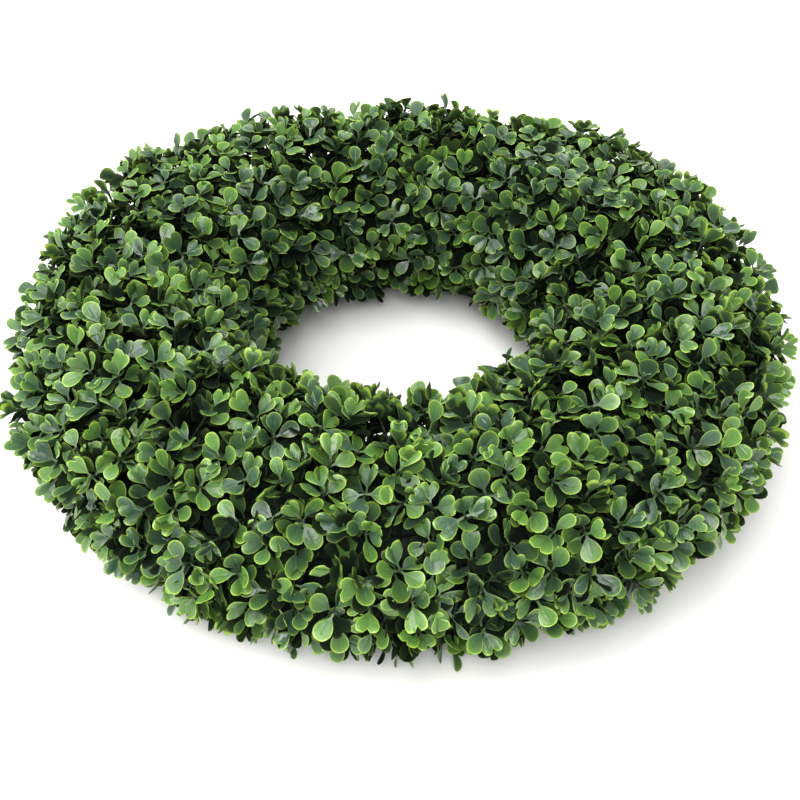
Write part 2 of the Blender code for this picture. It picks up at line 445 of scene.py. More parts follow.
@dataclass(frozen=True)
class StemMould:
    """The mould of a stem of unit length along +Z, which ends in a small bud."""

    name: str = "stem_mould"
    sides: int = 5
    profile: tuple[tuple[float, float], ...] = (
        (0.0013, 0.0), (0.0009, 0.12), (0.0008, 0.9), (0.0013, 0.97), (0.0007, 1.04))

    def build(self, home: bpy.types.Collection) -> bpy.types.Object:
        """Makes the stem as a closed turned form.

        Args:
            home: The collection of the moulds.

        Returns:
            The mould's object.
        """
        form = bmesh.new()
        part = form.verts.layers.int.new("part")
        rings = []
        for radius, height in self.profile:
            ring = []
            for i in range(self.sides):
                turn = FULL_TURN * i / self.sides
                vert = form.verts.new((radius * math.cos(turn), radius * math.sin(turn), height))
                vert[part] = PartOfSpray.STEM.value
                ring.append(vert)
            rings.append(ring)
        for low, high in zip(rings, rings[1:]):
            for i in range(self.sides):
                j = (i + 1) % self.sides
                form.faces.new((low[i], low[j], high[j], high[i]))
        form.faces.new(list(reversed(rings[0])))
        form.faces.new(rings[-1])
        return new_object(self.name, mesh_of(self.name, form), home)


@dataclass(frozen=True)
class StripMould:
    """The mould of one backing strip: a curved plate with a raised grid, from turn 0 to one spray's width."""

    name: str = "strip_mould"
    low_angle: float = math.radians(-30.0)
    high_angle: float = math.radians(210.0)
    cells_long: int = 15
    cells_wide: int = 3
    side_gap: float = 0.0004
    rib: float = 0.0016
    pocket: float = 0.0013
    edge_angle: float = math.radians(35.0)

    def build(self, home: bpy.types.Collection) -> bpy.types.Object:
        """Makes the plate as a closed form and sinks a pocket in each cell of its outer face.

        Args:
            home: The collection of the moulds.

        Returns:
            The mould's object.
        """
        form = bmesh.new()
        part = form.verts.layers.int.new("part")
        width = FULL_TURN / SPRAY_COUNT
        layers = []
        for radius in (STRIP_OUTER_RADIUS, STRIP_INNER_RADIUS):
            layer = []
            for i in range(self.cells_long + 1):
                angle = self.low_angle + (self.high_angle - self.low_angle) * i / self.cells_long
                trim = self.side_gap / (RING_RADIUS + radius * math.cos(angle))
                turns = [trim + (width - 2.0 * trim) * j / self.cells_wide
                         for j in range(self.cells_wide + 1)]
                layer.append([form.verts.new(in_section(turn, angle, radius)) for turn in turns])
            layers.append(layer)
        outer, inner = layers
        cells = []
        for i in range(self.cells_long):
            for j in range(self.cells_wide):
                corners = (i, j), (i, j + 1), (i + 1, j + 1), (i + 1, j)
                cells.append(form.faces.new([outer[k][m] for k, m in corners]))
                form.faces.new([inner[k][m] for k, m in (corners[0], *reversed(corners[1:]))])
        border = [(0, j) for j in range(self.cells_wide)]
        border += [(i, self.cells_wide) for i in range(self.cells_long)]
        border += [(self.cells_long, j) for j in range(self.cells_wide, 0, -1)]
        border += [(i, 0) for i in range(self.cells_long, 0, -1)]
        for (i, j), (k, m) in zip(border, border[1:] + border[:1]):
            form.faces.new((outer[i][j], inner[i][j], inner[k][m], outer[k][m]))
        bmesh.ops.recalc_face_normals(form, faces=form.faces)
        bmesh.ops.inset_individual(form, faces=cells, thickness=self.rib, depth=-self.pocket)
        for vert in form.verts:
            vert[part] = PartOfSpray.STRIP.value
        bmesh.ops.recalc_face_normals(form, faces=form.faces)
        mesh = mesh_of(self.name, form)
        mesh.set_sharp_from_angle(angle=self.edge_angle)
        return new_object(self.name, mesh, home)


@dataclass(frozen=True)
class PlasticGrain:
    """The fine unevenness of moulded plastic, shared by the leaves, stems and strips.

    Each of its three noises has a scale, which the group takes as an input, and a number of octaves.
    """

    name: str = "moulded_plastic_grain"
    scales: tuple[tuple[str, float, float], ...] = (
        ("Mottle", 60.0, 3.0), ("Grain", 900.0, 2.0), ("Swell", 230.0, 1.0))
    grain_share: float = 0.16
    mottle_ramp: Ramp = (0.35, 0.65)

    def group(self) -> bpy.types.NodeTree:
        """Makes the shader group once and returns it.

        Returns:
            A group with three scales in, and a mottling mask and a relief out.
        """
        made = bpy.data.node_groups.get(self.name)
        if made:
            return made
        tree = bpy.data.node_groups.new(self.name, "ShaderNodeTree")
        for kind, scale, _ in self.scales:
            tree.interface.new_socket(f"{kind} Scale", in_out="INPUT",
                                      socket_type="NodeSocketFloat").default_value = scale
        for output in ("Mottle", "Relief"):
            tree.interface.new_socket(output, in_out="OUTPUT", socket_type="NodeSocketFloat")
        net = NodeNet(tree)
        entry = net.add("NodeGroupInput")
        place = net.get("Object", "ShaderNodeTexCoord")
        mottle, grain, swell = (
            net.get("Fac", "ShaderNodeTexNoise",
                    {"Vector": place, "Scale": entry.outputs[f"{kind} Scale"], "Detail": octaves})
            for kind, _, octaves in self.scales)
        relief = net.plus(net.times(grain, self.grain_share), swell)
        net.add("NodeGroupOutput", {"Mottle": net.ramp(mottle, *self.mottle_ramp), "Relief": relief})
        return tree


def new_material(name: str) -> tuple[bpy.types.Material, NodeNet, bpy.types.Node]:
    """Makes a material with a Principled shader.

    Args:
        name: The material's name.

    Returns:
        The material, its node net and its shader.
    """
    material = bpy.data.materials.new(name)
    material.use_nodes = True
    net = NodeNet(material.node_tree)
    return material, net, material.node_tree.nodes["Principled BSDF"]


def linear(colour: Colour) -> tuple[float, ...]:
    """Returns the linear colour that the shaders take for a display colour."""
    shares = [value / 255.0 for value in colour]
    return *(share / 12.92 if share <= 0.04045 else ((share + 0.055) / 1.055) ** 2.4 for share in shares), 1.0


@dataclass(frozen=True)
class LeafPlastic:
    """The finish of the leaves: grey-green old leaves, fresh green ones, and a lighter rim on both.

    The leaves that face the hole are shifted a little towards the old colour and darkened, and the lower
    tiers
    are darkened more the deeper they lie: both are painted shade, for the hole's wall and the leaves above.
    """

    name: str = "leaf_plastic"
    old: Colour = (50, 76, 55)
    fresh: Colour = (81, 119, 51)
    old_rim: Colour = (120, 154, 66)
    fresh_rim: Colour = (147, 179, 66)
    underside: Colour = (50, 72, 48)
    claw: Colour = (48, 68, 44)
    # Painted shade: the near-black colour that the lower tiers and the leaves near the hole are darkened
    # towards.
    painted_deep_shade: Colour = (2, 5, 3)
    roughness: float = 0.27
    specular: float = 0.43
    tint_weight: float = 0.75
    tier_weight: float = 0.30
    mottle_weight: float = 0.08
    tip_weight: float = 0.45
    tip_start: float = 0.7
    fresh_ramp: Ramp = (0.44, 0.92)
    # Painted shade: the leaves near the hole are shifted a little towards the old colour and darkened.
    hole_shade_ramp: Ramp = (0.165, 0.115)
    hole_shade_age: float = 0.04
    hole_shade: float = 0.30
    under_ramp: Ramp = (0.55, 0.42)
    under_share: float = 0.6
    claw_ramp: Ramp = (0.34, 0.10, 0.0, 0.7)
    blade_ramp: Ramp = (0.25, 0.5, 0.15, 1.0)
    glow_ramp: Ramp = (0.25, 0.60, 0.0, 0.14)
    rim_ramp: Ramp = (0.56, 0.84, 0.0, 0.92)
    midrib_ramp: Ramp = (0.0, 0.10, 0.25, 0.0)
    midrib_end_ramp: Ramp = (0.95, 0.6)
    # Painted shade: how the darkening grows from the top tier down.
    tier_shade_ramp: Ramp = (1.0, 0.3)
    tier_shade: float = 0.95
    vein_ramp: Ramp = (0.0, 0.14, -0.45, 0.0)
    mottle_dullness: float = 0.12
    under_dullness: float = 0.15
    tier_dullness: float = 0.25
    relief_strength: float = 0.5
    relief_height: float = 0.0007

    def material(self) -> bpy.types.Material:
        """Makes the material.

        Returns:
            The leaf material.
        """
        material, net, shader = new_material(self.name)

        def stored(name: str) -> Socket:
            """Returns an attribute of the leaves."""
            return net.get("Fac", "ShaderNodeAttribute", attribute_name=name)

        grain = net.add("ShaderNodeGroup", node_tree=PlasticGrain().group())
        mottle, relief = grain.outputs["Mottle"], grain.outputs["Relief"]
        along, rim, tier = stored("along"), stored("rim"), stored("tier")
        # A mask of the leaves near the hole, which takes the painted shade of the hole's wall.
        across = net.vector("MULTIPLY", net.get("Object", "ShaderNodeTexCoord"), (1.0, 1.0, 0.0))
        from_axis = net.get("Value", "ShaderNodeVectorMath", {0: across}, operation="LENGTH")
        inner = net.ramp(from_axis, *self.hole_shade_ramp)
        age = net.plus(net.times(stored("tint"), self.tint_weight), net.times(tier, self.tier_weight))
        age = net.plus(age, net.times(mottle, self.mottle_weight))
        age = net.plus(age, net.times(net.minus(along, self.tip_start), self.tip_weight))
        fresh = net.ramp(net.minus(age, net.times(inner, self.hole_shade_age)), *self.fresh_ramp)
        colour = net.blended(fresh, linear(self.old), linear(self.fresh))
        rim_colour = net.blended(fresh, linear(self.old_rim), linear(self.fresh_rim))
        under = net.ramp(stored("upper"), *self.under_ramp)
        colour = net.blended(net.times(under, self.under_share), colour, linear(self.underside))
        colour = net.blended(net.ramp(along, *self.claw_ramp), colour, linear(self.claw))
        blade = net.ramp(along, *self.blade_ramp)
        glow = net.times(net.ramp(rim, *self.glow_ramp), blade)
        line = net.times(net.ramp(rim, *self.rim_ramp), blade)
        colour = net.blended(net.math("MAXIMUM", glow, line), colour, rim_colour)
        midrib = net.times(net.ramp(rim, *self.midrib_ramp), net.ramp(along, *self.midrib_end_ramp))
        colour = net.blended(midrib, colour, linear(self.claw))
        # Painted shade: the lower tiers darken towards near black the deeper they lie, and so do the leaves
        # near the hole.
        shade = net.math("MAXIMUM", net.ramp(tier, *self.tier_shade_ramp), net.times(inner, self.hole_shade))
        colour = net.blended(net.times(shade, self.tier_shade), colour, linear(self.painted_deep_shade))
        rough = net.plus(self.roughness, net.times(net.minus(mottle, 0.5), self.mottle_dullness))
        rough = net.plus(rough, net.times(under, self.under_dullness))
        rough = net.plus(rough, net.times(net.minus(1.0, tier), self.tier_dullness))
        height = net.plus(relief, net.ramp(rim, *self.vein_ramp))
        net.feed(shader, {"Base Color": colour, "Roughness": rough, "Specular IOR Level": self.specular,
                          "Normal": net.bump(height, self.relief_strength, self.relief_height)})
        return material


@dataclass(frozen=True)
class BranchPlastic:
    """The finish of stems and strips: darker plastic, duller than the leaves."""

    name: str
    shade: Colour
    worn: Colour
    roughness: float
    specular: float
    roughness_spread: float = 0.08
    mottle_scale: float = 45.0
    relief_strength: float = 0.3
    relief_height: float = 0.0004

    def material(self) -> bpy.types.Material:
        """Makes the material.

        Returns:
            The stem or strip material.
        """
        material, net, shader = new_material(self.name)
        grain = net.add("ShaderNodeGroup", {"Mottle Scale": self.mottle_scale},
                        node_tree=PlasticGrain().group())
        mottle, relief = grain.outputs["Mottle"], grain.outputs["Relief"]
        colour = net.blended(mottle, linear(self.shade), linear(self.worn))
        rough = net.ramp(mottle, 0.0, 1.0, self.roughness - self.roughness_spread,
                         self.roughness + self.roughness_spread)
        net.feed(shader, {"Base Color": colour, "Roughness": rough, "Specular IOR Level": self.specular,
                          "Normal": net.bump(relief, self.relief_strength, self.relief_height)})
        return material


@dataclass(frozen=True)
class BeadFoam:
    """The finish of the ring form: dark green foam of pressed beads, dull all over."""

    name: str = "bead_foam"
    face: Colour = (21, 36, 24)
    seam: Colour = (11, 20, 13)
    bead_scale: float = 260.0
    seam_ramp: Ramp = (0.0, 0.12)
    roughness: float = 0.85
    relief_strength: float = 0.6
    relief_height: float = 0.0006

    def material(self) -> bpy.types.Material:
        """Makes the material.

        Returns:
            The foam material.
        """
        material, net, shader = new_material(self.name)
        place = net.get("Object", "ShaderNodeTexCoord")
        beads = net.add("ShaderNodeTexVoronoi", {"Vector": place, "Scale": self.bead_scale},
                        feature="DISTANCE_TO_EDGE")
        seams = net.ramp(beads.outputs["Distance"], *self.seam_ramp)
        net.feed(shader, {"Base Color": net.blended(seams, linear(self.seam), linear(self.face)),
                          "Roughness": self.roughness,
                          "Normal": net.bump(seams, self.relief_strength, self.relief_height)})
        return material


@dataclass
class FoamRing:
    """The ring that the sprays are fixed to: round in section, with a flat back."""

    name: str = "foam_ring"
    steps: int = 120
    arc_points: int = 36
    back_spans: int = 4
    corner: float = 0.003
    edge_angle: float = math.radians(40.0)
    finish: BeadFoam = BeadFoam()

    def section(self) -> list[Vector]:
        """Lays out the section as a closed line at +X.

        Returns:
            Its points, from the outer corner of the back over the top to the inner one.
        """
        flat = math.asin(SECTION_HEIGHT / FORM_RADIUS)
        start = -flat + self.corner / FORM_RADIUS
        points = []
        for i in range(self.arc_points + 1):
            angle = start + (math.pi - 2.0 * start) * i / self.arc_points
            points.append(in_section(0.0, angle, FORM_RADIUS))
        half_flat = math.sqrt(FORM_RADIUS ** 2 - SECTION_HEIGHT ** 2)
        for i in range(self.back_spans + 1):
            x = -half_flat + self.corner + 2.0 * (half_flat - self.corner) * i / self.back_spans
            points.append(Vector((RING_RADIUS + x, 0.0, 0.0)))
        return points

    def build(self) -> bpy.types.Object:
        """Turns the section round the ring's axis and dresses it.

        Returns:
            The finished piece.
        """
        form = bmesh.new()
        rows = []
        for step in range(self.steps):
            turned = Matrix.Rotation(FULL_TURN * step / self.steps, 3, "Z")
            rows.append([form.verts.new(turned @ point) for point in self.section()])
        for here, there in zip(rows, rows[1:] + rows[:1]):
            for i in range(len(here)):
                form.faces.new((here[i - 1], there[i - 1], there[i], here[i]))
        piece = new_object(self.name, mesh_of(self.name, form))
        piece.data.set_sharp_from_angle(angle=self.edge_angle)
        piece.data.materials.append(self.finish.material())
        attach(piece, "root")
        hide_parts("ring_form")
        return piece


@dataclass(frozen=True)
class FoliageTree:
    """The Geometry Nodes tree that grows one spray: sprigs spread over a guide, each with tiers of leaves.

    A spread is how far a random value goes to either side, in radians where it is a turn and in tier gaps
    where it is a height.
    """

    name: str = "boxwood_foliage"
    spacing: float = 0.0181
    candidates: float = 20000.0
    tiers: int = 6
    leaves_in_tier: int = 2
    tier_gap: float = 0.0032
    turn_per_tier: float = math.radians(82.0)
    lean: float = 0.32
    missing: float = 0.05
    softness: float = 0.008
    ceiling: float = 0.1535
    up_turn: float = 0.35
    lowest_root: float = -0.48
    root_depth: float = 0.001
    top_offset: tuple[float, float] = (-0.010, 0.002)
    tier_spread: float = 0.5
    yaw_spread: float = 0.35
    pitch: float = 0.46
    pitch_per_tier: float = 0.07
    pitch_spread: float = 0.60
    roll_spread: float = 0.6
    leaf_size: tuple[float, float] = (0.70, 1.00)
    size_per_tier: float = 0.02
    leaf_moulds: int = 6
    deep_below: float = 0.7
    seed: int = 7

    INPUTS = (
        ("Geometry", "NodeSocketGeometry"), ("Spray", "NodeSocketInt"), ("Spacing", "NodeSocketFloat"),
        ("Tiers", "NodeSocketInt"), ("Leaves In Tier", "NodeSocketInt"), ("Tier Gap", "NodeSocketFloat"),
        ("Lean", "NodeSocketFloat"), ("Softness", "NodeSocketFloat"), ("Ceiling", "NodeSocketFloat"),
        ("Seed", "NodeSocketInt"),
        ("Leaves", "NodeSocketCollection"), ("Stem", "NodeSocketObject"), ("Strip", "NodeSocketObject"),
        ("Leaf Material", "NodeSocketMaterial"), ("Deep Leaf Material", "NodeSocketMaterial"),
        ("Stem Material", "NodeSocketMaterial"), ("Strip Material", "NodeSocketMaterial"))

    def tree(self) -> bpy.types.NodeTree:
        """Builds the tree.

        Returns:
            The node group for the sprays' modifiers.
        """
        tree = bpy.data.node_groups.new(self.name, "GeometryNodeTree")
        for name, kind in self.INPUTS:
            tree.interface.new_socket(name, in_out="INPUT", socket_type=kind)
        tree.interface.new_socket("Geometry", in_out="OUTPUT", socket_type="NodeSocketGeometry")
        net = NodeNet(tree)
        given = net.add("NodeGroupInput").outputs
        sprigs = self.sprigs(net, given)
        leaves = self.leaves(net, given, sprigs)
        stems = self.stems(net, given, sprigs)
        strip = self.strip(net, given)
        joined = net.add("GeometryNodeJoinGeometry")
        for geometry in (strip, stems, leaves):
            tree.links.new(geometry, joined.inputs["Geometry"])
        real = net.get("Geometry", "GeometryNodeRealizeInstances", {"Geometry": joined.outputs["Geometry"]})
        settled = self.settle(net, given, real)
        net.add("NodeGroupOutput", {"Geometry": self.dress(net, given, settled)})
        return tree

    @staticmethod
    def drawn(net: NodeNet, given: Mapping[str, Socket], draw: Draw, low: Any, high: Any,
              data_type: str = "FLOAT") -> Socket:
        """Returns a random value between two others for each point, which the tree's seed settles."""
        return net.random(low, high, net.plus(given["Seed"], draw.value), data_type)

    def dress(self, net: NodeNet, given: Mapping[str, Socket], geometry: Socket) -> Socket:
        """Gives the strip, stems, leaves and deep leaves their materials.

        Args:
            net: The tree's node net.
            given: The tree's inputs.
            geometry: The realised spray.

        Returns:
            The dressed spray.
        """
        part = net.attribute("part", "INT")
        strip, stem, leaf = (
            net.get("Result", "FunctionNodeCompare", {"A": part, "B": kind.value}, data_type="INT",
                    operation="EQUAL")
            for kind in PartOfSpray)
        # The lower tiers take the duller copy of the leaf finish, as painted shade.
        low = net.math("LESS_THAN", net.attribute("tier"), self.deep_below)
        deep = net.get("Boolean", "FunctionNodeBooleanMath", {0: leaf, 1: low}, operation="AND")
        for chosen, name in ((strip, "Strip"), (stem, "Stem"), (leaf, "Leaf"), (deep, "Deep Leaf")):
            geometry = net.get(
                "Geometry", "GeometryNodeSetMaterial",
                {"Geometry": geometry, "Selection": chosen, "Material": given[f"{name} Material"]})
        return geometry

    def sprigs(self, net: NodeNet, given: Mapping[str, Socket]) -> Socket:
        """Spreads the sprigs' tops over the guide, keeps one spray's own, and stores their axes and bases.

        Args:
            net: The tree's node net.
            given: The tree's inputs.

        Returns:
            The sprigs' top points.
        """
        points = net.get("Points", "GeometryNodeDistributePointsOnFaces",
                         {"Mesh": given["Geometry"], "Distance Min": given["Spacing"],
                          "Density Max": self.candidates, "Seed": given["Seed"]}, distribute_method="POISSON")
        place = net.get("Position", "GeometryNodeInputPosition")
        parts = net.add("ShaderNodeSeparateXYZ", {"Vector": place}).outputs
        turn = net.math("WRAP", net.math("ARCTAN2", parts["Y"], parts["X"]), FULL_TURN, 0.0)
        sector = net.math("FLOOR", net.math("DIVIDE", turn, FULL_TURN / SPRAY_COUNT))
        own = net.get("Result", "FunctionNodeCompare", {"A": sector, "B": given["Spray"], "Epsilon": 0.1},
                      data_type="FLOAT", operation="EQUAL")
        kept = net.get("Selection", "GeometryNodeSeparateGeometry", {"Geometry": points, "Selection": own},
                       domain="POINT")
        outward = net.vector("NORMALIZE", net.triple(parts["X"], parts["Y"], 0.0))
        middle = net.vector("ADD", net.scaled(outward, RING_RADIUS), net.triple(0.0, 0.0, SECTION_HEIGHT))
        away = net.vector("NORMALIZE", net.vector("SUBTRACT", place, middle))
        low = net.scaled((-1.0, -1.0, -1.0), given["Lean"])
        high = net.scaled((1.0, 1.0, 1.0), given["Lean"])
        astray = self.drawn(net, given, Draw.LEAN, low, high, "FLOAT_VECTOR")
        rooted = net.vector("NORMALIZE", net.vector("ADD", away, astray))
        rooted = net.vector("NORMALIZE", net.vector("MAXIMUM", rooted, (-1.0, -1.0, self.lowest_root)))
        base = net.vector("ADD", middle, net.scaled(rooted, STRIP_OUTER_RADIUS - self.root_depth))
        kept = net.store(kept, "base", base, "FLOAT_VECTOR")
        kept = net.store(kept, "axis", net.vector("NORMALIZE", net.vector("SUBTRACT", place, base)),
                         "FLOAT_VECTOR")
        kept = net.store(kept, "spin", self.drawn(net, given, Draw.SPIN, 0.0, FULL_TURN))
        kept = net.store(kept, "sprig_tint", self.drawn(net, given, Draw.SPRIG_TINT, 0.0, 1.0))
        offset = net.scaled(net.attribute("axis", "FLOAT_VECTOR"),
                            self.drawn(net, given, Draw.TOP, *self.top_offset))
        return net.get("Geometry", "GeometryNodeSetPosition", {"Geometry": kept, "Offset": offset})

    def leaves(self, net: NodeNet, given: Mapping[str, Socket], sprigs: Socket) -> Socket:
        """Sets tiers of leaves down each sprig, every leaf with its own pitch, roll, size and tint.

        Args:
            net: The tree's node net.
            given: The tree's inputs.
            sprigs: The sprigs' top points.

        Returns:
            The leaf instances.
        """
        def spread(draw: Draw, reach: float) -> Socket:
            """Returns a random value for each leaf, up to the reach on either side of nothing."""
            return self.drawn(net, given, draw, -reach, reach)

        amount = net.times(given["Tiers"], given["Leaves In Tier"])
        copies = net.add("GeometryNodeDuplicateElements", {"Geometry": sprigs, "Amount": amount},
                         domain="POINT")
        number = copies.outputs["Duplicate Index"]
        tier = net.math("FLOOR", net.math("DIVIDE", number, given["Leaves In Tier"]))
        present = net.math("GREATER_THAN", self.drawn(net, given, Draw.MISSING, 0.0, 1.0), self.missing)
        kept = net.get("Selection", "GeometryNodeSeparateGeometry",
                       {"Geometry": net.store(copies.outputs["Geometry"], "depth", tier),
                        "Selection": present}, domain="POINT")
        kept = net.store(kept, "place_in_tier", net.math("MODULO", number, given["Leaves In Tier"]))
        depth = net.attribute("depth")
        axis = net.attribute("axis", "FLOAT_VECTOR")
        down = net.times(given["Tier Gap"], net.plus(depth, spread(Draw.TIER, self.tier_spread)))
        kept = net.get("Geometry", "GeometryNodeSetPosition",
                       {"Geometry": kept, "Offset": net.scaled(axis, net.times(down, -1.0))})
        share = net.math("DIVIDE", net.attribute("place_in_tier"), given["Leaves In Tier"])
        yaw = net.plus(net.attribute("spin"), net.times(share, FULL_TURN))
        yaw = net.plus(yaw, net.times(depth, self.turn_per_tier))
        yaw = net.plus(yaw, spread(Draw.YAW, self.yaw_spread))
        pitch = net.minus(self.pitch, net.times(depth, self.pitch_per_tier))
        pitch = net.plus(pitch, spread(Draw.PITCH, self.pitch_spread))
        roll = spread(Draw.ROLL, self.roll_spread)
        upright = net.add("ShaderNodeSeparateXYZ", {"Vector": axis}).outputs["Z"]
        rise = net.times(self.up_turn, net.minus(1.0, upright))
        turned = net.get("Rotation", "FunctionNodeAlignRotationToVector",
                         {"Vector": net.vector("ADD", axis, net.triple(z=rise))}, axis="Z")
        for euler in (net.triple(z=yaw), net.triple(x=pitch), net.triple(y=roll)):
            step = net.get("Rotation", "FunctionNodeEulerToRotation", {"Euler": euler})
            turned = net.get("Rotation", "FunctionNodeRotateRotation",
                             {"Rotation": turned, "Rotate By": step}, rotation_space="LOCAL")
        size = net.plus(net.times(depth, self.size_per_tier),
                        self.drawn(net, given, Draw.SIZE, *self.leaf_size))
        tint = net.plus(net.attribute("sprig_tint"), self.drawn(net, given, Draw.LEAF_TINT, 0.0, 1.0))
        kept = net.store(kept, "tint", net.times(0.5, tint))
        kept = net.store(kept, "tier", net.minus(1.0, net.math("DIVIDE", depth, self.tiers - 1.0)))
        moulds = net.get("Instances", "GeometryNodeCollectionInfo",
                         {"Collection": given["Leaves"], "Separate Children": True, "Reset Children": True})
        choice = self.drawn(net, given, Draw.MOULD, 0, self.leaf_moulds - 1, "INT")
        return net.get("Instances", "GeometryNodeInstanceOnPoints",
                       {"Points": kept, "Instance": moulds, "Pick Instance": True, "Instance Index": choice,
                        "Rotation": turned, "Scale": size})

    def stems(self, net: NodeNet, given: Mapping[str, Socket], sprigs: Socket) -> Socket:
        """Stands a stem on the strip for every sprig, as long as the sprig is high.

        Args:
            net: The tree's node net.
            given: The tree's inputs.
            sprigs: The sprigs' top points.

        Returns:
            The stem instances.
        """
        place = net.get("Position", "GeometryNodeInputPosition")
        base = net.attribute("base", "FLOAT_VECTOR")
        length = net.get("Value", "ShaderNodeVectorMath", {0: place, 1: base}, operation="DISTANCE")
        sprigs = net.store(sprigs, "stem_length", length)
        feet = net.get("Geometry", "GeometryNodeSetPosition", {"Geometry": sprigs, "Position": base})
        turned = net.get("Rotation", "FunctionNodeAlignRotationToVector",
                         {"Vector": net.attribute("axis", "FLOAT_VECTOR")}, axis="Z")
        mould = net.get("Geometry", "GeometryNodeObjectInfo", {"Object": given["Stem"], "As Instance": True})
        return net.get("Instances", "GeometryNodeInstanceOnPoints",
                       {"Points": feet, "Instance": mould, "Rotation": turned,
                        "Scale": net.triple(1.0, 1.0, net.attribute("stem_length"))})

    def strip(self, net: NodeNet, given: Mapping[str, Socket]) -> Socket:
        """Turns the strip's mould to this spray's place round the ring.

        Args:
            net: The tree's node net.
            given: The tree's inputs.

        Returns:
            The strip.
        """
        mould = net.get("Geometry", "GeometryNodeObjectInfo", {"Object": given["Strip"]})
        turn = net.times(given["Spray"], FULL_TURN / SPRAY_COUNT)
        return net.get("Geometry", "GeometryNodeTransform",
                       {"Geometry": mould, "Rotation": net.triple(z=turn)})

    def settle(self, net: NodeNet, given: Mapping[str, Socket], real: Socket) -> Socket:
        """Presses softly to the floor what would lie below it, and down what would stand too high.

        Args:
            net: The tree's node net.
            given: The tree's inputs.
            real: The realised spray.

        Returns:
            The spray with every point between the floor and the ceiling.
        """
        place = net.get("Position", "GeometryNodeInputPosition")
        parts = net.add("ShaderNodeSeparateXYZ", {"Vector": place}).outputs
        soft = given["Softness"]

        def pressed(depth: Socket) -> Socket:
            """Keeps a distance from a limit above nothing.

            Args:
                depth: The distance.

            Returns:
                The distance as it is beyond the softness, and eased towards nothing within it.
            """
            near = net.times(soft, net.math("EXPONENT", net.minus(net.math("DIVIDE", depth, soft), 1.0)))
            choice = {"Switch": net.math("LESS_THAN", depth, soft), "False": depth, "True": near}
            return net.get("Output", "GeometryNodeSwitch", choice, input_type="FLOAT")

        height = net.minus(given["Ceiling"], pressed(net.minus(given["Ceiling"], parts["Z"])))
        return net.get("Geometry", "GeometryNodeSetPosition",
                       {"Geometry": real, "Position": net.triple(parts["X"], parts["Y"], pressed(height))})


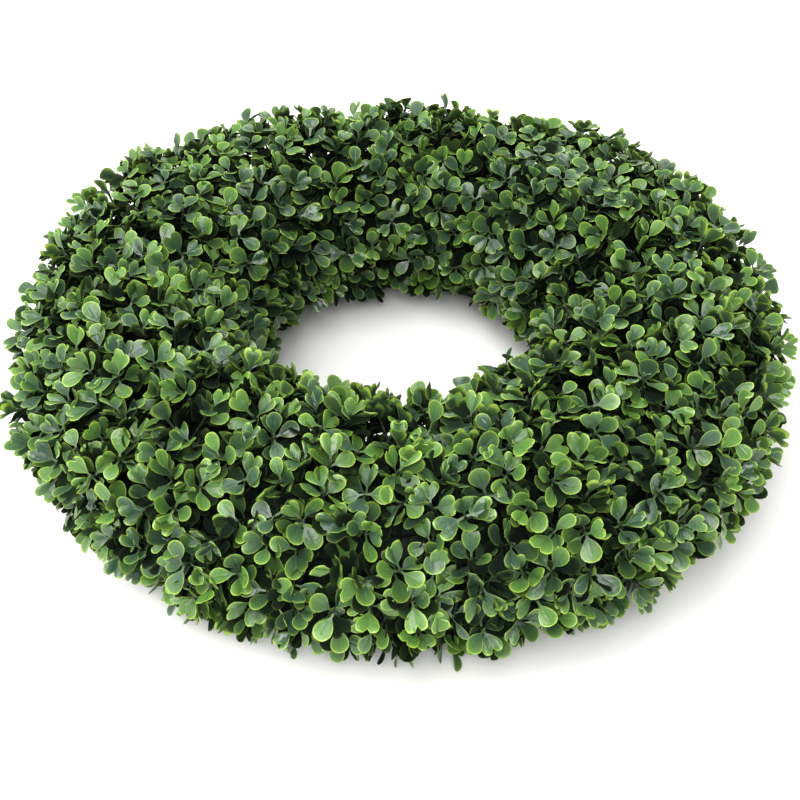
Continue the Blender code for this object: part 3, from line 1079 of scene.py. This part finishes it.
@dataclass
class BoxwoodSprays:
    """The sprays of moulded boxwood that stand side by side round the ring.

    FULLNESS is how much further the foliage stands out at even steps round the ring. LUMPS are two waves on
    top of it, each as its number round the ring, its number round the section, and its start.
    """

    side_inset: float = 0.008
    top_inset: float = 0.009
    inner_foot_inset: float = 0.018
    outer_foot_inset: float = 0.010
    shortest_stem: float = 0.005
    outer_low_angle: float = math.radians(-33.0)
    inner_low_angle: float = math.radians(-22.0)
    foot_angle: float = math.radians(-42.0)
    foot_stem: float = 0.008
    foot_points: int = 5
    guide_turns: int = 144
    guide_points: int = 40
    lump_height: float = 0.003
    foliage: FoliageTree = FoliageTree()
    leaves: LeafPlastic = LeafPlastic()
    # A duller copy of the leaf finish for the lower tiers, as painted shade: the shaded leaves get little
    # sheen.
    shaded_deep_leaves: LeafPlastic = LeafPlastic("deep_leaf_plastic", roughness=0.75, specular=0.1)
    stems: BranchPlastic = BranchPlastic(
        "stem_plastic", shade=(24, 36, 22), worn=(38, 52, 30), roughness=0.5, specular=0.35)
    strips: BranchPlastic = BranchPlastic(
        "strip_plastic", shade=(8, 14, 9), worn=(13, 22, 14), roughness=0.7, specular=0.15)

    LUMPS = ((5.0, 2.0, 0.0), (11.0, -3.0, 1.0))
    FULLNESS = (-0.001, 0.009, 0.011, -0.001, 0.002, 0.004, 0.008, 0.009,
                0.000, 0.000, -0.002, -0.004, -0.005, -0.002, 0.003, 0.000)
    MOULDS = (
        LeafMould("leaf_1_spoon_long", LeafKind.SPOON, 0.0196, 0.0118, 0.0016, 0.0012),
        LeafMould("leaf_2_spoon_round", LeafKind.SPOON, 0.0184, 0.0130, 0.0022, 0.0020),
        LeafMould("leaf_3_spoon_flat", LeafKind.SPOON, 0.0200, 0.0120, 0.0012, -0.0016),
        LeafMould("leaf_4_heart_open", LeafKind.HEART, 0.0186, 0.0154, 0.0022, 0.0010, notch=0.0034),
        LeafMould("leaf_5_heart_folded", LeafKind.HEART, 0.0180, 0.0142, 0.0034, 0.0016, notch=0.0030),
        LeafMould("leaf_6_heart_drooping", LeafKind.HEART, 0.0190, 0.0150, 0.0020, -0.0018, notch=0.0038),
    )

    def fullness(self, turn: float) -> float:
        """Works out how much fuller or flatter the wreath is at one place of the ring.

        Args:
            turn: The place round the ring, in radians.

        Returns:
            The distance that the foliage stands out further.
        """
        place = turn / FULL_TURN * len(self.FULLNESS)
        before = int(place) % len(self.FULLNESS)
        share = (1.0 - math.cos(math.pi * (place % 1.0))) / 2.0
        after = (before + 1) % len(self.FULLNESS)
        return self.FULLNESS[before] * (1.0 - share) + self.FULLNESS[after] * share

    def inset(self, angle: float) -> float:
        """Works out how far inside the envelope the sprigs' tops lie.

        Args:
            angle: The direction in the section, in radians from the outward horizontal.

        Returns:
            The distance below the envelope.
        """
        up = max(0.0, math.sin(angle))
        inner_foot = max(0.0, -math.cos(angle)) * (1.0 - up) ** 2
        outer_foot = max(0.0, math.cos(angle)) * min(0.0, math.sin(angle)) ** 2
        return (self.side_inset + (self.top_inset - self.side_inset) * up
                + (self.inner_foot_inset - self.side_inset) * inner_foot + self.outer_foot_inset * outer_foot)

    def top_radius(self, turn: float, angle: float) -> float:
        """Works out where the sprigs' tops lie, a little lumpy as a hand-made wreath is.

        Args:
            turn: The place round the ring, in radians.
            angle: The direction in the section, in radians from the outward horizontal.

        Returns:
            Their distance from the middle of the section.
        """
        radius = envelope_reach(angle) - self.inset(angle) + self.fullness(turn)
        lump = 0.0
        for round_ring, round_section, start in self.LUMPS:
            lump += math.sin(round_ring * turn + round_section * angle + start)
        return max(radius + 0.5 * self.lump_height * lump, STRIP_OUTER_RADIUS + self.shortest_stem)

    def foot_radius(self, turn: float, angle: float) -> float:
        """Returns the same for the low band, which is as far out at every turn and angle."""
        return STRIP_OUTER_RADIUS + self.foot_stem

    def guide(self) -> bpy.types.Mesh:
        """Makes the surface that the sprigs' tops lie on, and a low band that fills the outer foot.

        Returns:
            Two open bands round the ring.
        """
        mesh = bpy.data.meshes.new("sprig_guide")
        verts, faces = [], []
        bands: tuple[tuple[float, float, int, Callable[[float, float], float]], ...] = (
            (self.outer_low_angle, math.pi - self.inner_low_angle, self.guide_points, self.top_radius),
            (self.foot_angle, self.outer_low_angle, self.foot_points, self.foot_radius))
        for low, high, count, radius in bands:
            first = len(verts)
            for turn_step in range(self.guide_turns):
                turn = FULL_TURN * turn_step / self.guide_turns
                for i in range(count):
                    angle = low + (high - low) * i / (count - 1)
                    verts.append(in_section(turn, angle, radius(turn, angle)))
            for turn_step in range(self.guide_turns):
                here, there = first + turn_step * count, first + (turn_step + 1) % self.guide_turns * count
                faces += [(here + i, there + i, there + i + 1, here + i + 1) for i in range(count - 1)]
        mesh.from_pydata(verts, [], faces)
        return mesh

    def build(self) -> list[bpy.types.Object]:
        """Grows the sprays and turns each one into a plain mesh.

        Returns:
            The finished pieces.
        """
        moulds = bpy.data.collections.new("moulds")
        leaf_moulds = bpy.data.collections.new("leaf_moulds")
        bpy.context.scene.collection.children.link(moulds)
        moulds.children.link(leaf_moulds)
        for mould in self.MOULDS:
            mould.build(leaf_moulds)
        stem, strip = StemMould().build(moulds), StripMould().build(moulds)
        tree = self.foliage.tree()
        values = {
            "Spacing": self.foliage.spacing, "Tiers": self.foliage.tiers,
            "Leaves In Tier": self.foliage.leaves_in_tier, "Tier Gap": self.foliage.tier_gap,
            "Lean": self.foliage.lean, "Softness": self.foliage.softness, "Ceiling": self.foliage.ceiling,
            "Seed": self.foliage.seed, "Leaves": leaf_moulds, "Stem": stem, "Strip": strip,
            "Leaf Material": self.leaves.material(), "Deep Leaf Material": self.shaded_deep_leaves.material(),
            "Stem Material": self.stems.material(), "Strip Material": self.strips.material()}
        guide = self.guide()
        pieces = [self.grow(number, guide, tree, values) for number in range(SPRAY_COUNT)]
        for collection in (leaf_moulds, moulds):
            for mould in list(collection.objects):
                bpy.data.objects.remove(mould)
            bpy.data.collections.remove(collection)
        return pieces

    def grow(self, number: int, guide: bpy.types.Mesh, tree: bpy.types.NodeTree, values: Mapping[str, Any]
             ) -> bpy.types.Object:
        """Grows one spray and puts it in its CAD node's place.

        Args:
            number: The spray's place round the ring, from 0.
            guide: The surface that the sprigs' tops lie on.
            tree: The node tree that grows a spray.
            values: The tree's inputs, by name.

        Returns:
            The finished piece.
        """
        node = f"boxwood_spray_{number + 1:02d}"
        piece = new_object(f"foliage_{number + 1:02d}", guide)
        modifier = piece.modifiers.new("foliage", "NODES")
        modifier.node_group = tree
        sockets = {item.name: item.identifier for item in tree.interface.items_tree
                   if item.item_type == "SOCKET" and item.in_out == "INPUT"}
        for name, value in {**values, "Spray": number}.items():
            modifier[sockets[name]] = value
        grown = bpy.data.meshes.new_from_object(piece.evaluated_get(bpy.context.evaluated_depsgraph_get()))
        piece.modifiers.clear()
        piece.data = grown
        grown.name = piece.name
        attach(piece, "root")
        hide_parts(node)
        return piece


@dataclass(frozen=True)
class Lamp:
    """One soft square lamp that faces the wreath: its place, the length of its side, and its watts."""

    name: str
    place: tuple[float, float, float]
    side: float
    watts: float

    def hang(self) -> None:
        """Hangs the lamp in the scene."""
        data = bpy.data.lights.new(self.name, "AREA")
        data.size = self.side
        data.energy = self.watts
        lamp = bpy.data.objects.new(self.name, data)
        bpy.context.scene.collection.objects.link(lamp)
        lamp.location = self.place
        lamp.rotation_euler = (-Vector(self.place)).to_track_quat("-Z", "Y").to_euler()


@dataclass
class Studio:
    """The pale floor, the soft light and the camera at the photograph's angle."""

    elevation: float = math.radians(40.5)
    distance: float = 0.930
    target: tuple[float, float, float] = (0.0004, 0.0084, 0.0)
    lens: float = 53.6
    sensor: float = 36.0
    floor_size: float = 12.0
    floor_gap: float = 0.0002
    floor_shades: tuple[Colour, Colour] = ((240, 240, 237), (244, 244, 241))
    floor_roughness: float = 0.6
    haze_scale: float = 3.0
    world_strength: float = 0.61
    lamps: tuple[Lamp, ...] = (
        Lamp("front_lamp", (-0.05, -1.45, 1.5), side=0.9, watts=28.0),
        Lamp("left_lamp", (-1.3, -0.5, 1.65), side=2.4, watts=44.0),
        Lamp("top_lamp", (-0.2, -0.5, 1.8), side=1.0, watts=17.0),
        Lamp("back_lamp", (0.1, 1.5, 1.4), side=0.7, watts=9.0))

    def camera(self) -> None:
        """Places the camera and makes it the scene's own."""
        data = bpy.data.cameras.new("camera")
        data.lens = self.lens
        data.sensor_width = self.sensor
        camera = bpy.data.objects.new("camera", data)
        bpy.context.scene.collection.objects.link(camera)
        back = Vector((0.0, -math.cos(self.elevation), math.sin(self.elevation)))
        camera.location = Vector(self.target) + self.distance * back
        camera.rotation_euler = (math.pi / 2.0 - self.elevation, 0.0, 0.0)
        bpy.context.scene.camera = camera

    def floor(self) -> None:
        """Lays the floor just under the wreath."""
        form = bmesh.new()
        bmesh.ops.create_grid(form, x_segments=1, y_segments=1, size=self.floor_size / 2.0)
        bmesh.ops.translate(form, verts=form.verts, vec=(0.0, 0.0, -self.floor_gap))
        floor = new_object("floor", mesh_of("floor", form))
        material, net, shader = new_material("pale_floor")
        place = net.get("Object", "ShaderNodeTexCoord")
        haze = net.get("Fac", "ShaderNodeTexNoise", {"Vector": place, "Scale": self.haze_scale})
        colour = net.blended(haze, *(linear(shade) for shade in self.floor_shades))
        net.feed(shader, {"Base Color": colour, "Roughness": self.floor_roughness})
        floor.data.materials.append(material)

    def build(self) -> None:
        """Sets up the floor, lamps, world and camera."""
        self.floor()
        self.camera()
        for lamp in self.lamps:
            lamp.hang()
        world = bpy.data.worlds.new("studio")
        world.use_nodes = True
        net = NodeNet(world.node_tree)
        seen = net.get("Is Camera Ray", "ShaderNodeLightPath")
        strength = net.ramp(seen, 0.0, 1.0, self.world_strength, 1.0)
        net.feed(world.node_tree.nodes["Background"], {"Color": (1.0, 1.0, 1.0, 1.0), "Strength": strength})
        scene = bpy.context.scene
        scene.world = world
        scene.view_settings.view_transform = "Standard"


def report(name: str, pieces: Sequence[bpy.types.Object]) -> None:
    """Logs how many triangles a group of pieces has.

    Args:
        name: What the pieces are.
        pieces: The pieces.
    """
    counts = []
    for piece in pieces:
        piece.data.calc_loop_triangles()
        counts.append(len(piece.data.loop_triangles))
    LOG.info("%s: %d pieces, %d triangles, at most %d in one", name, len(pieces), sum(counts), max(counts))


def main() -> None:
    """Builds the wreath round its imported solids, then the studio."""
    logging.basicConfig(level=logging.INFO, format="%(name)s: %(message)s")
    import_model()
    report("foam ring", [FoamRing().build()])
    report("boxwood sprays", BoxwoodSprays().build())
    Studio().build()


if __name__ == "__main__":
    main()
